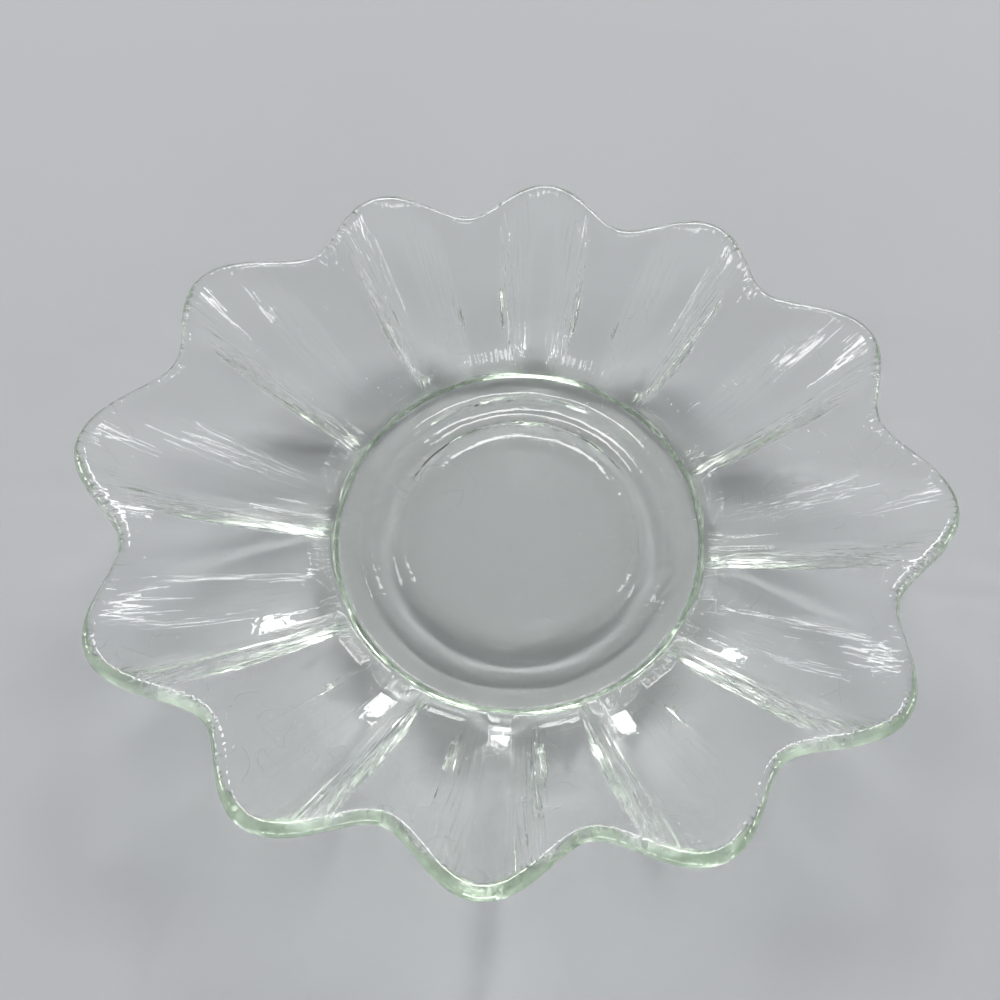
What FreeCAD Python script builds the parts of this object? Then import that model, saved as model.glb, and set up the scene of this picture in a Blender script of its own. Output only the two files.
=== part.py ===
"""Floating candle bowl: one piece of thick pressed glass.

Twelve hollow lobes run round a shallow flared wall, with a nearly flat panel between
each two. The rim is oval, the floor and the foot are round.
Frame: +Z up, origin on the table under the middle of the foot, the long axis on X
with a lobe on +X. Sizes are in millimetres, angles in degrees.
"""
import FreeCAD, Part
import math
import os

import Sketcher
from FreeCAD import Vector

doc = FreeCAD.newDocument("candle_bowl")


# Driving dimensions

SIZES = [
    ("overall_length", 255.0, "tip of a lobe to the tip of the opposite one, along X"),
    ("overall_width", 224.0, "the same across the short axis"),
    ("overall_height", 45.0, "table to the top of a lobe's lip"),
    ("lobe_count", 12, "lobes round the rim"),
    ("scallop_depth", 14.4, "how far a lobe's tip stands out past the rim between lobes"),
    ("scallop_rise", 2.2, "how much higher a lobe's tip is than the rim between lobes"),
    ("wall_thickness", 4.8, "wall and lip"),
    ("channel_half_angle", 3.0, "from the middle of a lobe to the crease beside its channel"),
    ("panel_edge_angle", 8.9, "from the middle of a lobe to the crease beside a panel"),
    ("panel_sag", 1.0, "how far a panel between lobes sags below a straight line"),
    ("channel_sag", 6.5, "the same along the channel of a lobe"),
    ("root_radius", 62.0, "where the middle of the wall leaves the base"),
    ("panel_root_height", 9.3, "height of that place under a panel"),
    ("channel_root_height", 6.4, "height of that place under a channel"),
    ("floor_height", 9.0, "top of the floor above the table"),
    ("floor_radius", 61.5, "flat floor, out to the panels' sloping ends"),
    ("panel_end_radius", 65.3, "upper edge of the sloping ends"),
    ("panel_end_height", 5.3, "height of that edge above the floor"),
    ("base_overlap", 1.5, "how far the base runs into the wall round it"),
    ("foot_radius", 58.5, "outer edge of the foot near the table"),
    ("foot_top_radius", 59.8, "foot where it runs into the wall"),
    ("foot_top_height", 6.5, "height of that place"),
    ("foot_inner_radius", 51.0, "inner edge of the face that touches the table"),
    ("foot_edge_size", 1.0, "slope that eases the foot's outer edge"),
    ("recess_radius", 48.5, "hollow under the base"),
    ("recess_depth", 1.8, "depth of that hollow"),
    ("centre_radius", 39.7, "deeper middle of that hollow"),
    ("centre_depth", 2.3, "depth of the middle"),
    ("centre_slope", 0.5, "run of the small step round the middle"),
]

sheet = doc.addObject("Spreadsheet::Sheet", "sizes")
for row, (alias, value, note) in enumerate(SIZES, start=1):
    sheet.set("A%d" % row, alias)
    sheet.set("B%d" % row, str(value))
    sheet.set("C%d" % row, note)
    sheet.setAlias("B%d" % row, alias)
doc.recompute()


def size(alias):
    return float(sheet.get(alias))


# Fluted wall: a channel down the middle of each lobe, a panel between each two lobes and
# a steep flank from crease to crease between them

LOBES = int(size("lobe_count"))
PITCH = 360.0 / LOBES
HALF_WALL = size("wall_thickness") / 2
START_INSIDE_BASE = -0.2
POINTS_UP_WALL = 7
CROWDING_AT_LIP = 1.5
FADING = 9
LIP_FLATS = 6


def flute(angle, climb):
    """1 along a channel, 0 on a panel. The creases fade into an even wave at the lip."""
    from_lobe = abs((math.degrees(angle) + PITCH / 2) % PITCH - PITCH / 2)
    flank = size("panel_edge_angle") - size("channel_half_angle")
    creased = min(max((size("panel_edge_angle") - from_lobe) / flank, 0.0), 1.0)
    wave = (1 + math.cos(LOBES * angle)) / 2
    return creased + (wave - creased) * max(climb, 0.0) ** FADING


def middle_of_wall(climb, angle):
    """A point halfway through the wall: climb is 0 at the base and 1 at the lip."""
    half_length = size("overall_length") / 2 - HALF_WALL
    half_width = size("overall_width") / 2 - HALF_WALL
    oval = 1 / math.hypot(math.cos(angle) / half_length, math.sin(angle) / half_width)
    lobe = flute(angle, climb)
    reach = oval * (1 - size("scallop_depth") / half_length * (1 - lobe))
    radius = size("root_radius") + climb * (reach - size("root_radius"))

    channel_start = size("channel_root_height")
    channel_end = size("overall_height") - HALF_WALL
    panel_start = size("panel_root_height")
    panel_end = channel_end - size("scallop_rise")
    bow = 4 * climb * (1 - climb)
    channel = channel_start + climb * (channel_end - channel_start) - size("channel_sag") * bow
    panel = panel_start + climb * (panel_end - panel_start) - size("panel_sag") * bow
    height = panel + (channel - panel) * lobe
    return Vector(radius * math.cos(angle), radius * math.sin(angle), height)


def across_wall(climb, angle):
    """The middle of the wall, with the steps from there to its inside and out to its lip."""
    step = 1e-3
    middle = middle_of_wall(climb, angle)
    along = middle_of_wall(climb, angle + step) - middle_of_wall(climb, angle - step)
    up_wall = middle_of_wall(climb + step, angle) - middle_of_wall(climb - step, angle)
    inward = up_wall.cross(along).normalize() * HALF_WALL
    outward = along.cross(inward).normalize() * HALF_WALL
    return middle, inward, outward


def wall_section(angle):
    """Closed outline of the wall at one angle. The round lip is drawn by a few flats."""
    below_lip = [(1 - i / (POINTS_UP_WALL - 1)) ** CROWDING_AT_LIP for i in range(POINTS_UP_WALL)]
    climbs = [1 - (1 - START_INSIDE_BASE) * share for share in below_lip]
    places = [across_wall(climb, angle) for climb in climbs]
    inside_points = [middle + inward for middle, inward, outward in places]
    outside_points = [middle - inward for middle, inward, outward in places]
    inside = Part.BSplineCurve()
    inside.interpolate(Points=inside_points, Parameters=climbs)
    outside = Part.BSplineCurve()
    outside.interpolate(Points=outside_points, Parameters=climbs)

    middle, inward, outward = places[-1]
    turns = [math.pi * i / LIP_FLATS for i in range(LIP_FLATS + 1)]
    corners = [middle + inward * math.cos(turn) + outward * math.sin(turn) for turn in turns]
    lip = [Part.LineSegment(*ends) for ends in zip(corners, corners[1:])]
    root = Part.LineSegment(outside_points[0], inside_points[0])
    return Part.Wire([curve.toShape() for curve in (inside, *lip, outside, root)])


# Flat strips of wall run from section to section over a quarter of the bowl. Sections lie
# on every crease, and close together where the rim turns round a lobe and between lobes
BESIDE_LOBE = 1.5
BETWEEN_LOBES = 13.6
channel_crease = size("channel_half_angle")
panel_crease = size("panel_edge_angle")
half_lobe = [
    0,
    BESIDE_LOBE,
    channel_crease,
    (channel_crease + panel_crease) / 2,
    panel_crease,
    (panel_crease + PITCH / 2) / 2,
    BETWEEN_LOBES,
    PITCH / 2,
]
whole_lobe = half_lobe + [PITCH - angle for angle in reversed(half_lobe[1:-1])]
section_angles = [lobe * PITCH + angle for lobe in range(LOBES // 4) for angle in whole_lobe]
section_angles.append(LOBES // 4 * PITCH)
sections = [wall_section(math.radians(angle)) for angle in section_angles]

quarter = doc.addObject("Part::Feature", "wall_quarter")
quarter.Shape = Part.makeLoft(sections, True, True)


def mirrored(name, source, normal):
    image = doc.addObject("Part::Mirroring", name)
    image.Source = source
    image.Normal = normal
    return image


def combined(kind, name, first, second, refine=False):
    result = doc.addObject(kind, name)
    result.Base = first
    result.Tool = second
    result.Refine = refine
    return result


opposite_quarter = mirrored("wall_quarter_opposite", quarter, Vector(1, 0, 0))
half = combined("Part::Fuse", "wall_half", quarter, opposite_quarter)
other_half = mirrored("wall_other_half", half, Vector(0, 1, 0))
wall = combined("Part::Fuse", "fluted_wall", half, other_half)


# Sloping ends of the panels, where they run down to the round floor. The cone that cuts
# them is taller than the slope, so that it leaves no skin over it

CONE_HEIGHTS = 2

ends = doc.addObject("Part::Cone", "panel_ends")
ends.setExpression("Radius1", "sizes.floor_radius")
ends.setExpression(
    "Radius2",
    "sizes.floor_radius + %d * (sizes.panel_end_radius - sizes.floor_radius)" % CONE_HEIGHTS,
)
ends.setExpression("Height", "%d * sizes.panel_end_height" % CONE_HEIGHTS)
ends.setExpression("Placement.Base.z", "sizes.floor_height")
trimmed_wall = combined("Part::Cut", "trimmed_wall", wall, ends)


# Base: a turned disc with a flat floor, a foot and a shallow hollow underneath

base = doc.addObject("PartDesign::Body", "base")
profile = base.newObject("Sketcher::SketchObject", "base_profile")
front_plane = next(f for f in base.Origin.OriginFeatures if f.Role == "XZ_Plane")
profile.AttachmentSupport = (front_plane, "")
profile.MapMode = "FlatFace"

# Each corner's distance from the axis and height above the table, as sizes in the sheet
CORNERS = [
    (None, ["centre_depth"]),
    (["centre_radius"], ["centre_depth"]),
    (["centre_radius", "centre_slope"], ["recess_depth"]),
    (["recess_radius"], ["recess_depth"]),
    (["foot_inner_radius"], None),
    (["foot_radius"], None),
    (["foot_top_radius"], ["foot_top_height"]),
    (["floor_radius", "base_overlap"], ["floor_height"]),
    (None, ["floor_height"]),
]
X_AXIS = -1
Z_AXIS = -2
START_POINT = 1
END_POINT = 2


def corner_position(corner):
    x, z = (sum(size(alias) for alias in aliases or []) for aliases in corner)
    return Vector(x, z, 0)


for i, corner in enumerate(CORNERS):
    following = CORNERS[(i + 1) % len(CORNERS)]
    line = Part.LineSegment(corner_position(corner), corner_position(following))
    profile.addGeometry(line, False)

for i, corner in enumerate(CORNERS):
    following = (i + 1) % len(CORNERS)
    profile.addConstraint(Sketcher.Constraint("Coincident", i, END_POINT, following, START_POINT))
    place = corner_position(corner)
    directions = (("DistanceX", place.x, Z_AXIS), ("DistanceY", place.y, X_AXIS))
    for aliases, (direction, distance, axis) in zip(corner, directions):
        if aliases is None:
            profile.addConstraint(Sketcher.Constraint("PointOnObject", i, START_POINT, axis))
            continue
        number = profile.addConstraint(
            Sketcher.Constraint(direction, -1, START_POINT, i, START_POINT, distance)
        )
        formula = " + ".join("sizes.%s" % alias for alias in aliases)
        profile.setExpression("Constraints[%d]" % number, formula)

turned = base.newObject("PartDesign::Revolution", "turned_base")
turned.Profile = profile
turned.ReferenceAxis = (profile, ["V_Axis"])
turned.Angle = 360
doc.recompute()


def edge_name(shape, radius, height):
    """Name of the round edge with this radius, at this height."""
    for number, edge in enumerate(shape.Edges, start=1):
        is_round = isinstance(edge.Curve, Part.Circle)
        if is_round and abs(edge.Curve.Radius - radius) + abs(edge.Curve.Center.z - height) < 1e-3:
            return "Edge%d" % number
    raise RuntimeError("no round edge with radius %g at height %g" % (radius, height))


eased = base.newObject("PartDesign::Chamfer", "eased_foot")
eased.Base = (turned, [edge_name(turned.Shape, size("foot_radius"), 0)])
eased.setExpression("Size", "sizes.foot_edge_size")
base.Tip = eased


# The bowl: base and wall in one piece of glass

bowl = combined("Part::Fuse", "glass_bowl", trimmed_wall, base, refine=True)
bowl.Label = "glass_bowl"
doc.recompute()

for item in doc.Objects:
    if {"Invalid", "Error"} & set(item.State):
        raise RuntimeError("%s could not be made" % item.Name)
if bowl.Shape.isNull() or not bowl.Shape.isValid() or len(bowl.Shape.Solids) != 1:
    raise RuntimeError("the bowl is not one valid solid")

os.makedirs("parts", exist_ok=True)
bowl.Shape.exportStep("parts/%s.step" % bowl.Label)
print("glass_bowl: %.0f cubic mm" % bowl.Shape.Volume)
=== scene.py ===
"""Floating candle bowl of clear pressed glass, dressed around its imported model."""
import math

import bmesh
import bpy
from mathutils import Matrix, Vector


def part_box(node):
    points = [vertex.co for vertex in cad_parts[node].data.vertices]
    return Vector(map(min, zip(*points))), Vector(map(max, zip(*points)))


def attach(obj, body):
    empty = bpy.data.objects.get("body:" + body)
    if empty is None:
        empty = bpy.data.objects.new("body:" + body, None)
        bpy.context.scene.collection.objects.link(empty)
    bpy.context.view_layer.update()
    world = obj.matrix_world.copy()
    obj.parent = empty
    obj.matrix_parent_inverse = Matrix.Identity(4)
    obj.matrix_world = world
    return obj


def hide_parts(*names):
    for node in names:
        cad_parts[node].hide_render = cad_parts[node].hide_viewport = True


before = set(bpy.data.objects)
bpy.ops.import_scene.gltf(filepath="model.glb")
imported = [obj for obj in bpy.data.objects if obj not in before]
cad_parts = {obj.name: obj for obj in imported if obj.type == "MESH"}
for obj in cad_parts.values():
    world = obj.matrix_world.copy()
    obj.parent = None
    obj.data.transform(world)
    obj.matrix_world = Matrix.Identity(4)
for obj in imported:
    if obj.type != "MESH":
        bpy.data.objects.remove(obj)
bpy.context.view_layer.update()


# The bowl is one piece of clear glass: a gob of hot glass is dropped into a mould, a plunger
# presses the flutes, and a flame softens every edge. Here a turned plate with a rounded edge
# and a foot takes the place of the gob. Its sizes are in millimetres and degrees
MM = 0.001
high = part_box("glass_bowl")[1]
HALF_LENGTH = high.x / MM
HALF_WIDTH = high.y / MM
HEIGHT = high.z / MM

LOBES = 12
PITCH = 360.0 / LOBES
HALF_WALL = 2.4
SCALLOP_DEPTH = 14.4
SCALLOP_RISE = 2.2
CHANNEL_HALF_ANGLE = 3.0
PANEL_EDGE_ANGLE = 9.0
CREASE_ANGLE = 1.5
FADING = 9
PANEL_SAG = 1.0
CHANNEL_SAG = 6.5
ROOT_RADIUS = 62.0
PANEL_ROOT_HEIGHT = 9.3
CHANNEL_ROOT_HEIGHT = 6.4
FLOOR_HEIGHT = 9.0
FLOOR_RADIUS = 61.5
PANEL_END_RADIUS = 65.3
PANEL_END_HEIGHT = 5.3
FOOT_RADIUS = 58.5
FOOT_TOP_RADIUS = 59.8
FOOT_INNER_RADIUS = 51.0
RECESS_RADIUS = 48.5
RECESS_DEPTH = 1.8
CENTRE_RADIUS = 39.7
CENTRE_DEPTH = 2.3
CENTRE_SLOPE = 0.5
FOOT_ROUNDING = 1.2
SOFT_EDGE = 1.4


def smooth(x):
    """0 to 1 with a level start and a level end."""
    x = min(max(x, 0.0), 1.0)
    return x * x * (3 - 2 * x)


def lower_of(a, b, softness):
    """The smaller of two heights, with the corner between them rounded off."""
    overlap = max(softness - abs(a - b), 0.0) / softness
    return min(a, b) - overlap * overlap * softness / 4


def rise_from(start, x, rounding):
    """0 before the start and x past it from there on, with the crease between rounded."""
    past = x - start
    if abs(past) < rounding:
        return (past + rounding) ** 2 / (4 * rounding)
    return max(past, 0.0)


def flute(angle, climb):
    """1 along a channel, 0 on a panel. The creases fade into an even wave at the lip."""
    from_lobe = abs((math.degrees(angle) + PITCH / 2) % PITCH - PITCH / 2)
    flank = PANEL_EDGE_ANGLE - CHANNEL_HALF_ANGLE
    up_flank = (PANEL_EDGE_ANGLE - from_lobe) / flank
    rounding = CREASE_ANGLE / 2 / flank
    creased = rise_from(0, up_flank, rounding) - rise_from(1, up_flank, rounding)
    wave = (1 + math.cos(LOBES * angle)) / 2
    return creased + (wave - creased) * max(climb, 0.0) ** FADING


def reach(angle, lobe):
    """Distance from the axis to the middle of the lip."""
    half_length = HALF_LENGTH - HALF_WALL
    half_width = HALF_WIDTH - HALF_WALL
    oval = 1 / math.hypot(math.cos(angle) / half_length, math.sin(angle) / half_width)
    return oval * (1 - SCALLOP_DEPTH / half_length * (1 - lobe))


def middle_of_wall(climb, angle):
    """A point halfway through the wall: climb is 0 at the base and 1 at the lip."""
    lobe = flute(angle, climb)
    radius = ROOT_RADIUS + climb * (reach(angle, lobe) - ROOT_RADIUS)
    channel_end = HEIGHT - HALF_WALL
    panel_end = channel_end - SCALLOP_RISE
    bow = 4 * climb * (1 - climb)
    channel = CHANNEL_ROOT_HEIGHT + climb * (channel_end - CHANNEL_ROOT_HEIGHT) - CHANNEL_SAG * bow
    panel = PANEL_ROOT_HEIGHT + climb * (panel_end - PANEL_ROOT_HEIGHT) - PANEL_SAG * bow
    height = panel + (channel - panel) * lobe
    return Vector((radius * math.cos(angle), radius * math.sin(angle), height))


def wall_point(climb, angle, turn):
    """A point of the wall's skin. turn is 1 on the inside, -1 on the outside; between
    them it runs round the lip."""
    nudge = 1e-3
    middle = middle_of_wall(climb, angle)
    along = middle_of_wall(climb, angle + nudge) - middle_of_wall(climb, angle - nudge)
    up_wall = middle_of_wall(climb + nudge, angle) - middle_of_wall(climb - nudge, angle)
    inward = up_wall.cross(along).normalized()
    outward = along.cross(inward).normalized()
    swing = turn * math.pi / 2
    return middle + HALF_WALL * (math.sin(swing) * inward + math.cos(swing) * outward)


def wall_point_at(radius, angle, turn):
    """The point of the inside or the outside skin that is this far from the axis."""
    tries = 4
    run = reach(angle, 0.5) - ROOT_RADIUS
    climb = (radius - ROOT_RADIUS) / run
    for _ in range(tries):
        point = wall_point(climb, angle, turn)
        climb += (radius - point.xy.length) / run
    return wall_point(climb, angle, turn)


# The plate is its own outline, turned. Its rings are closest where the bowl bends most
PLATE_RADIUS = HALF_LENGTH - HALF_WALL
PLATE_MIDDLE = FLOOR_HEIGHT - HALF_WALL
PLATE_UNDERSIDE = PLATE_MIDDLE - HALF_WALL
BEND_MARGIN = 3
FOOT_MARGIN = 6
STEPS_PER_LOBE = 40
LIP_STEPS = 12
WALL_STEPS = 37
SAME_PLACE = 1e-4

plate = bmesh.new()


def outline_to(corner, x, z, steps=1):
    """Carries the plate's outline on to the next corner, in equal steps."""
    step = (Vector((x, 0, z)) - corner.co) / steps
    for _ in range(steps):
        corner = bmesh.ops.extrude_vert_indiv(plate, verts=[corner])["verts"][0]
        corner.co += step
    return corner


centre = plate.verts.new((0, 0, FLOOR_HEIGHT))
corner = outline_to(centre, FLOOR_RADIUS - BEND_MARGIN, FLOOR_HEIGHT, steps=8)
corner = outline_to(corner, PANEL_END_RADIUS + BEND_MARGIN, FLOOR_HEIGHT, steps=19)
lip_start = outline_to(corner, PLATE_RADIUS, FLOOR_HEIGHT, steps=WALL_STEPS)
lip = bmesh.ops.spin(
    plate,
    geom=[lip_start],
    cent=(PLATE_RADIUS, 0, PLATE_MIDDLE),
    axis=(0, 1, 0),
    angle=math.pi,
    steps=LIP_STEPS,
)
corner = next(v for v in lip["geom_last"] if isinstance(v, bmesh.types.BMVert))
corner = outline_to(corner, FOOT_TOP_RADIUS + FOOT_MARGIN, PLATE_UNDERSIDE, steps=WALL_STEPS)
corner = outline_to(corner, FOOT_TOP_RADIUS, PLATE_UNDERSIDE, steps=9)
corner = outline_to(corner, FOOT_RADIUS, 0, steps=3)
corner = outline_to(corner, FOOT_INNER_RADIUS, 0, steps=3)
corner = outline_to(corner, RECESS_RADIUS, RECESS_DEPTH)
corner = outline_to(corner, CENTRE_RADIUS + CENTRE_SLOPE, RECESS_DEPTH, steps=2)
corner = outline_to(corner, CENTRE_RADIUS, CENTRE_DEPTH)
corner = outline_to(corner, 0, CENTRE_DEPTH, steps=6)
bmesh.ops.spin(
    plate,
    geom=plate.verts[:] + plate.edges[:],
    cent=(0, 0, 0),
    axis=(0, 0, 1),
    angle=2 * math.pi,
    steps=LOBES * STEPS_PER_LOBE,
    use_merge=True,
)
bmesh.ops.remove_doubles(plate, verts=plate.verts[:], dist=SAME_PLACE)

FLAT_FLOOR_RADIUS = FLOOR_RADIUS - 2.5
HOLD_LENGTH = 12
ON_EDGE = 1e-3


def pressed(point):
    """Where a point of the plate lies in the finished bowl."""
    radius = point.xy.length
    angle = math.atan2(point.y, point.x)
    on_top = point.z > PLATE_MIDDLE
    if radius > PLATE_RADIUS + SAME_PLACE:
        turn = math.atan2(point.z - PLATE_MIDDLE, radius - PLATE_RADIUS) / (math.pi / 2)
        return wall_point(1, angle, turn)
    if on_top and radius < FLAT_FLOOR_RADIUS:
        return point
    if not on_top and (point.z < PLATE_UNDERSIDE - SAME_PLACE or radius < FOOT_TOP_RADIUS - ON_EDGE):
        return point

    # Next to the floor and the foot a point keeps its distance from the axis
    turn = 1 if on_top else -1
    climb = (radius - ROOT_RADIUS) / (PLATE_RADIUS - ROOT_RADIUS)
    free = wall_point(climb, angle, turn)
    start = FLOOR_RADIUS if on_top else FOOT_TOP_RADIUS
    held = 1 - smooth((radius - start) / HOLD_LENGTH)
    target = radius * held + free.xy.length * (1 - held)
    place = wall_point_at(target, angle, turn) if held else free
    if on_top:
        slope = PANEL_END_HEIGHT / (PANEL_END_RADIUS - FLOOR_RADIUS)
        end_height = FLOOR_HEIGHT + slope * (target - FLOOR_RADIUS)
        place.z = lower_of(place.z, end_height, SOFT_EDGE)
        place.z = -lower_of(-place.z, -FLOOR_HEIGHT, SOFT_EDGE / 2)
    return place


for vertex in plate.verts:
    vertex.co = pressed(vertex.co)

foot_edge = [
    edge
    for edge in plate.edges
    if all(abs(v.co.xy.length - FOOT_RADIUS) < ON_EDGE and abs(v.co.z) < ON_EDGE for v in edge.verts)
]
bmesh.ops.bevel(
    plate,
    geom=foot_edge,
    offset=FOOT_ROUNDING,
    offset_type="OFFSET",
    affect="EDGES",
    segments=3,
    profile=0.5,
    material=-1,
    clamp_overlap=True,
)
bmesh.ops.scale(plate, vec=(MM, MM, MM), verts=plate.verts[:])
bmesh.ops.recalc_face_normals(plate, faces=plate.faces[:])
for face in plate.faces:
    face.smooth = True

bowl_mesh = bpy.data.meshes.new("pressed_bowl")
plate.to_mesh(bowl_mesh)
plate.free()
bowl = bpy.data.objects.new("pressed_bowl", bowl_mesh)
bpy.context.scene.collection.objects.link(bowl)


def linear(hex_colour):
    """An sRGB colour, such as 'D8E0DA', as the linear values that shaders take."""
    channels = [int(hex_colour[i:i + 2], 16) / 255 for i in (0, 2, 4)]
    return [c / 12.92 if c <= 0.04045 else ((c + 0.055) / 1.055) ** 2.4 for c in channels] + [1]


def add_node(owner, kind, inputs=None, **settings):
    """Adds a node. Each input takes a number, a colour, an output, or a node for its first one."""
    node = owner.node_tree.nodes.new(kind)
    for name, value in settings.items():
        setattr(node, name, value)
    for socket, value in (inputs or {}).items():
        if isinstance(value, bpy.types.Node):
            value = value.outputs[0]
        if isinstance(value, bpy.types.NodeSocket):
            owner.node_tree.links.new(value, node.inputs[socket])
        else:
            node.inputs[socket].default_value = value
    return node


# Clear soda-lime glass, pressed and fire-polished: no colour across a wall, and a grey-green
# cast where light runs a long way inside it, as in the lip. The chilled skin is a little
# wavy, the plunger left drag lines on it, and use has left scratches
RIPPLE_WIDTH = 11
RIPPLE_DEPTH = 1
RIPPLE_STRENGTH = 0.36
LINES_PER_DEGREE = 1.3
LINE_LENGTH = 25
LINE_DRIFT = 20
LINE_DEPTH = 0.32
SCRATCH_WIDTH = 9
SCRATCHED_PATCH = 23
HAIRLINE_EDGE = 0.006
HAIRLINE_CORE = 0.002
PATCH_EDGE = 0.52
PATCH_CORE = 0.58
SCRATCH_DEPTH = 0.03
SCRATCH_ROUGHNESS = 0.25
POLISHED_ROUGHNESS = 0.01

glass = bpy.data.materials.new("pressed_soda_lime_glass")
glass.use_nodes = True
glass.node_tree.nodes.clear()
place = add_node(glass, "ShaderNodeTexCoord").outputs["Object"]
axes = add_node(glass, "ShaderNodeSeparateXYZ", {"Vector": place}).outputs
level_place = add_node(glass, "ShaderNodeVectorMath", {0: place, 1: (1, 1, 0)}, operation="MULTIPLY")
radius = add_node(glass, "ShaderNodeVectorMath", {0: level_place}, operation="LENGTH").outputs["Value"]
turned_by = add_node(glass, "ShaderNodeMath", {0: axes["Y"], 1: axes["X"]}, operation="ARCTAN2")
angle = add_node(glass, "ShaderNodeMath", {0: turned_by}, operation="DEGREES")
from_lobe = add_node(glass, "ShaderNodeMath", {0: angle, 1: PITCH / 2}, operation="PINGPONG")

# Skin ripples, with smaller ones in them, as the hot glass chills against the mould
ripple = add_node(
    glass, "ShaderNodeTexNoise", {"Vector": place, "Scale": 1 / (RIPPLE_WIDTH * MM), "Detail": 3.0}
)
rippled = add_node(
    glass,
    "ShaderNodeBump",
    {"Height": ripple, "Strength": RIPPLE_STRENGTH, "Distance": RIPPLE_DEPTH * MM},
)

# Drag lines along the flanks, across the ring at their feet and over the lip, 1 to 1.5 mm
# apart. At each edge in this list they grow from none, at its first value, to all of them
edges = {
    "channel": (from_lobe, 2.0, 3.5),
    "panel": (from_lobe, 10.5, 9.0),
    "foot_of_flank": (radius, 62 * MM, 68 * MM),
    "inside_of_ring": (radius, 60 * MM, 61.5 * MM),
    "outside_of_ring": (radius, 67.5 * MM, 65.5 * MM),
    "lip": (axes["Z"], 33 * MM, 41 * MM),
}
shown = {
    name: add_node(
        glass,
        "ShaderNodeMapRange",
        {"Value": measured, "From Min": none, "From Max": full},
        interpolation_type="SMOOTHSTEP",
    )
    for name, (measured, none, full) in edges.items()
}
between_edges = add_node(
    glass, "ShaderNodeMath", {0: shown["channel"], 1: shown["panel"]}, operation="MULTIPLY"
)
on_flank = add_node(
    glass, "ShaderNodeMath", {0: between_edges, 1: shown["foot_of_flank"]}, operation="MULTIPLY"
)
on_ring = add_node(
    glass, "ShaderNodeMath", {0: shown["inside_of_ring"], 1: shown["outside_of_ring"]}, operation="MULTIPLY"
)
below_lip = add_node(glass, "ShaderNodeMath", {0: on_flank, 1: on_ring}, operation="MAXIMUM")
lined = add_node(glass, "ShaderNodeMath", {0: below_lip, 1: shown["lip"]}, operation="MAXIMUM")
across = add_node(glass, "ShaderNodeMath", {0: angle, 1: LINES_PER_DEGREE}, operation="MULTIPLY")
outward = add_node(glass, "ShaderNodeMath", {0: radius, 1: LINE_LENGTH * MM}, operation="DIVIDE")
upward = add_node(glass, "ShaderNodeMath", {0: axes["Z"], 1: LINE_DRIFT * MM}, operation="DIVIDE")
along_flank = add_node(glass, "ShaderNodeCombineXYZ", {"X": across, "Y": outward, "Z": upward})
drag = add_node(glass, "ShaderNodeTexNoise", {"Vector": along_flank, "Scale": 1.0, "Detail": 1.0})
drag_height = add_node(glass, "ShaderNodeMath", {0: drag, 1: lined}, operation="MULTIPLY")
dragged = add_node(
    glass,
    "ShaderNodeBump",
    {"Height": drag_height, "Strength": 1.0, "Distance": LINE_DEPTH * MM, "Normal": rippled},
)

# Hairline scratches from use: the level lines of a wide noise, broken up by a second one
course = add_node(
    glass, "ShaderNodeTexNoise", {"Vector": place, "Scale": 1 / (SCRATCH_WIDTH * MM), "Detail": 1.0}
)
patches = add_node(
    glass, "ShaderNodeTexNoise", {"Vector": place, "Scale": 1 / (SCRATCHED_PATCH * MM), "Detail": 2.0}
)
past_level = add_node(glass, "ShaderNodeMath", {0: course, 1: 0.5}, operation="SUBTRACT")
off_level = add_node(glass, "ShaderNodeMath", {0: past_level}, operation="ABSOLUTE")
on_level = add_node(
    glass,
    "ShaderNodeMapRange",
    {"Value": off_level, "From Min": HAIRLINE_EDGE, "From Max": HAIRLINE_CORE},
    interpolation_type="SMOOTHSTEP",
)
in_patch = add_node(
    glass,
    "ShaderNodeMapRange",
    {"Value": patches, "From Min": PATCH_EDGE, "From Max": PATCH_CORE},
    interpolation_type="SMOOTHSTEP",
)
scratched = add_node(glass, "ShaderNodeMath", {0: on_level, 1: in_patch}, operation="MULTIPLY")
scratch_bump = add_node(
    glass,
    "ShaderNodeBump",
    {"Height": scratched, "Strength": 1.0, "Distance": SCRATCH_DEPTH * MM, "Normal": dragged},
    invert=True,
)
rough = add_node(
    glass,
    "ShaderNodeMath",
    {0: scratched, 1: SCRATCH_ROUGHNESS, 2: POLISHED_ROUGHNESS},
    operation="MULTIPLY_ADD",
)
skin = add_node(
    glass,
    "ShaderNodeBsdfPrincipled",
    {
        "Base Color": linear("FFFFFF"),
        "IOR": 1.52,
        "Transmission Weight": 1.0,
        "Roughness": rough,
        "Normal": scratch_bump,
    },
)
body = add_node(glass, "ShaderNodeVolumeAbsorption", {"Color": linear("B0CCA8"), "Density": 7.5})
add_node(glass, "ShaderNodeOutputMaterial", {"Surface": skin, "Volume": body})
bowl_mesh.materials.append(glass)

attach(bowl, "root")
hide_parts("glass_bowl")


# The floor is a plain sheet of pale card. The foot of the bowl touches it only here and there,
# so a little air lies between the two. It ends short of the windows: past them it would be dark
FLOOR_SIZE = 4.4
AIR_GAP = 0.1 * MM
sheet = bmesh.new()
bmesh.ops.create_grid(sheet, x_segments=1, y_segments=1, size=FLOOR_SIZE / 2)
bmesh.ops.translate(sheet, vec=(0, 0, -AIR_GAP), verts=sheet.verts[:])
floor_mesh = bpy.data.meshes.new("floor")
sheet.to_mesh(floor_mesh)
sheet.free()
floor = bpy.data.objects.new("floor", floor_mesh)
bpy.context.scene.collection.objects.link(floor)
card = bpy.data.materials.new("pale_card")
card.use_nodes = True
card.node_tree.nodes.clear()
card_skin = add_node(card, "ShaderNodeBsdfPrincipled", {"Base Color": linear("BABCBE"), "Roughness": 0.9})
add_node(card, "ShaderNodeOutputMaterial", {"Surface": card_skin})
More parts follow.
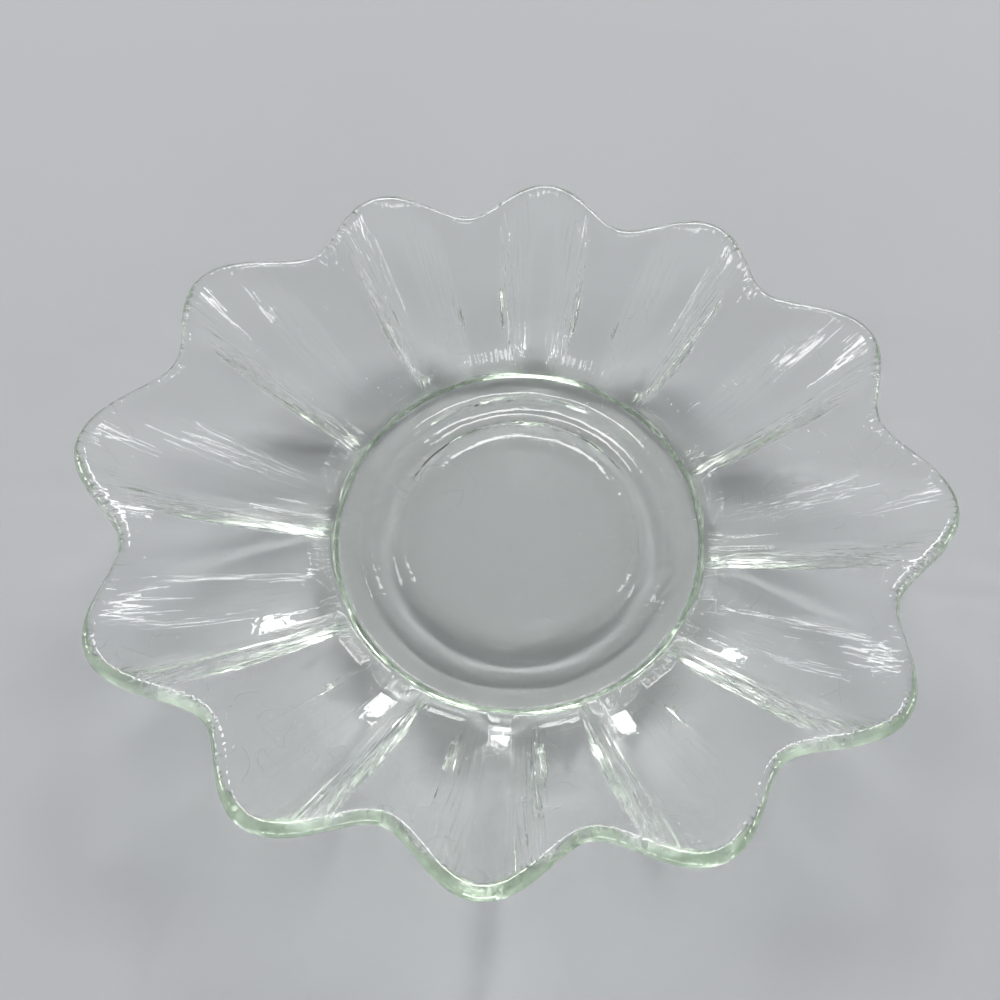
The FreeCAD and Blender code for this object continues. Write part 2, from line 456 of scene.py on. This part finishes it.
floor_mesh.materials.append(card)


# The studio has pale walls under a dimmer ceiling, and soft oval windows on all sides. The ribs
# and the lip bend the light of the windows towards the eye, so they stand out from the floor
WALL_TOP = 0.50
CEILING_START = 0.77
WALL_LIGHT = 0.50
CEILING_LIGHT = 0.12
WINDOW_DISTANCE = 5.0

world = bpy.data.worlds.new("studio")
bpy.context.scene.world = world
world.use_nodes = True
world.node_tree.nodes.clear()
direction = add_node(world, "ShaderNodeTexCoord").outputs["Generated"]
height_seen = add_node(world, "ShaderNodeSeparateXYZ", {"Vector": direction}).outputs["Z"]
light_level = add_node(
    world,
    "ShaderNodeMapRange",
    {
        "Value": height_seen,
        "From Min": WALL_TOP,
        "From Max": CEILING_START,
        "To Min": WALL_LIGHT,
        "To Max": CEILING_LIGHT,
    },
    interpolation_type="SMOOTHSTEP",
)
background = add_node(world, "ShaderNodeBackground", {"Color": linear("F8FAFC"), "Strength": light_level})
add_node(world, "ShaderNodeOutputWorld", {"Surface": background})


def window(name, azimuth, elevation, width, height, brightness):
    """An oval lamp that faces the bowl, seen in it but not by the camera itself."""
    lamp = bpy.data.lights.new(name, "AREA")
    lamp.shape = "ELLIPSE"
    lamp.size = width
    lamp.size_y = height
    oval_area = math.pi / 4 * width * height
    lamp.energy = brightness * math.pi * oval_area
    light = bpy.data.objects.new(name, lamp)
    swung = Matrix.Rotation(math.radians(azimuth + 90), 4, "Z")
    tipped = Matrix.Rotation(math.radians(90 - elevation), 4, "X")
    light.matrix_world = swung @ tipped @ Matrix.Translation((0, 0, WINDOW_DISTANCE))
    light.visible_camera = False
    bpy.context.scene.collection.objects.link(light)


window("window_behind_left", azimuth=104, elevation=41, width=1.9, height=1.2, brightness=17)
window("window_behind_right", azimuth=76, elevation=41, width=1.9, height=1.2, brightness=17)
window("window_in_front", azimuth=270, elevation=12, width=3.3, height=1.2, brightness=8)
window("window_left", azimuth=180, elevation=30, width=0.6, height=2.2, brightness=11)
window("window_right", azimuth=0, elevation=30, width=0.6, height=2.2, brightness=11)

# Light goes round and round inside the glass before it leaves, and none of it may be cut off
PASSES = 32
REFLECTIONS = 24
BRIGHTEST_PATH = 20.0
light_paths = bpy.context.scene.cycles
light_paths.max_bounces = PASSES
light_paths.glossy_bounces = REFLECTIONS
light_paths.transmission_bounces = PASSES
light_paths.blur_glossy = 0.0
light_paths.sample_clamp_indirect = BRIGHTEST_PATH


# The camera stands where the photograph was taken from. The picture is a part of a wider
# one, so its middle lies a little beside the line of sight
FOCAL_PIXELS = 925
PICTURE_PIXELS = 1000
SENSOR = 36.0
NEAREST_SEEN = 10 * MM
DISTANCE = 268.9 * MM
ELEVATION = math.radians(62.67)
AZIMUTH = math.radians(-1.64)
ROLL = math.radians(5.89)
AIM = Vector((13.62, 2.07, 41.5)) * MM
PIXELS_ASIDE = 67.9
PIXELS_ABOVE = 25.0

camera_data = bpy.data.cameras.new("camera")
camera_data.sensor_width = SENSOR
camera_data.lens = SENSOR * FOCAL_PIXELS / PICTURE_PIXELS
camera_data.shift_x = -PIXELS_ASIDE / PICTURE_PIXELS
camera_data.shift_y = -PIXELS_ABOVE / PICTURE_PIXELS
camera_data.clip_start = NEAREST_SEEN
camera = bpy.data.objects.new("camera", camera_data)
turned = Matrix.Rotation(AZIMUTH, 4, "Z") @ Matrix.Rotation(math.pi / 2 - ELEVATION, 4, "X")
drawn_back = Matrix.Translation((0, 0, DISTANCE))
camera.matrix_world = Matrix.Translation(AIM) @ turned @ drawn_back @ Matrix.Rotation(ROLL, 4, "Z")
bpy.context.scene.collection.objects.link(camera)
bpy.context.scene.camera = camera
bpy.context.scene.view_settings.view_transform = "Standard"
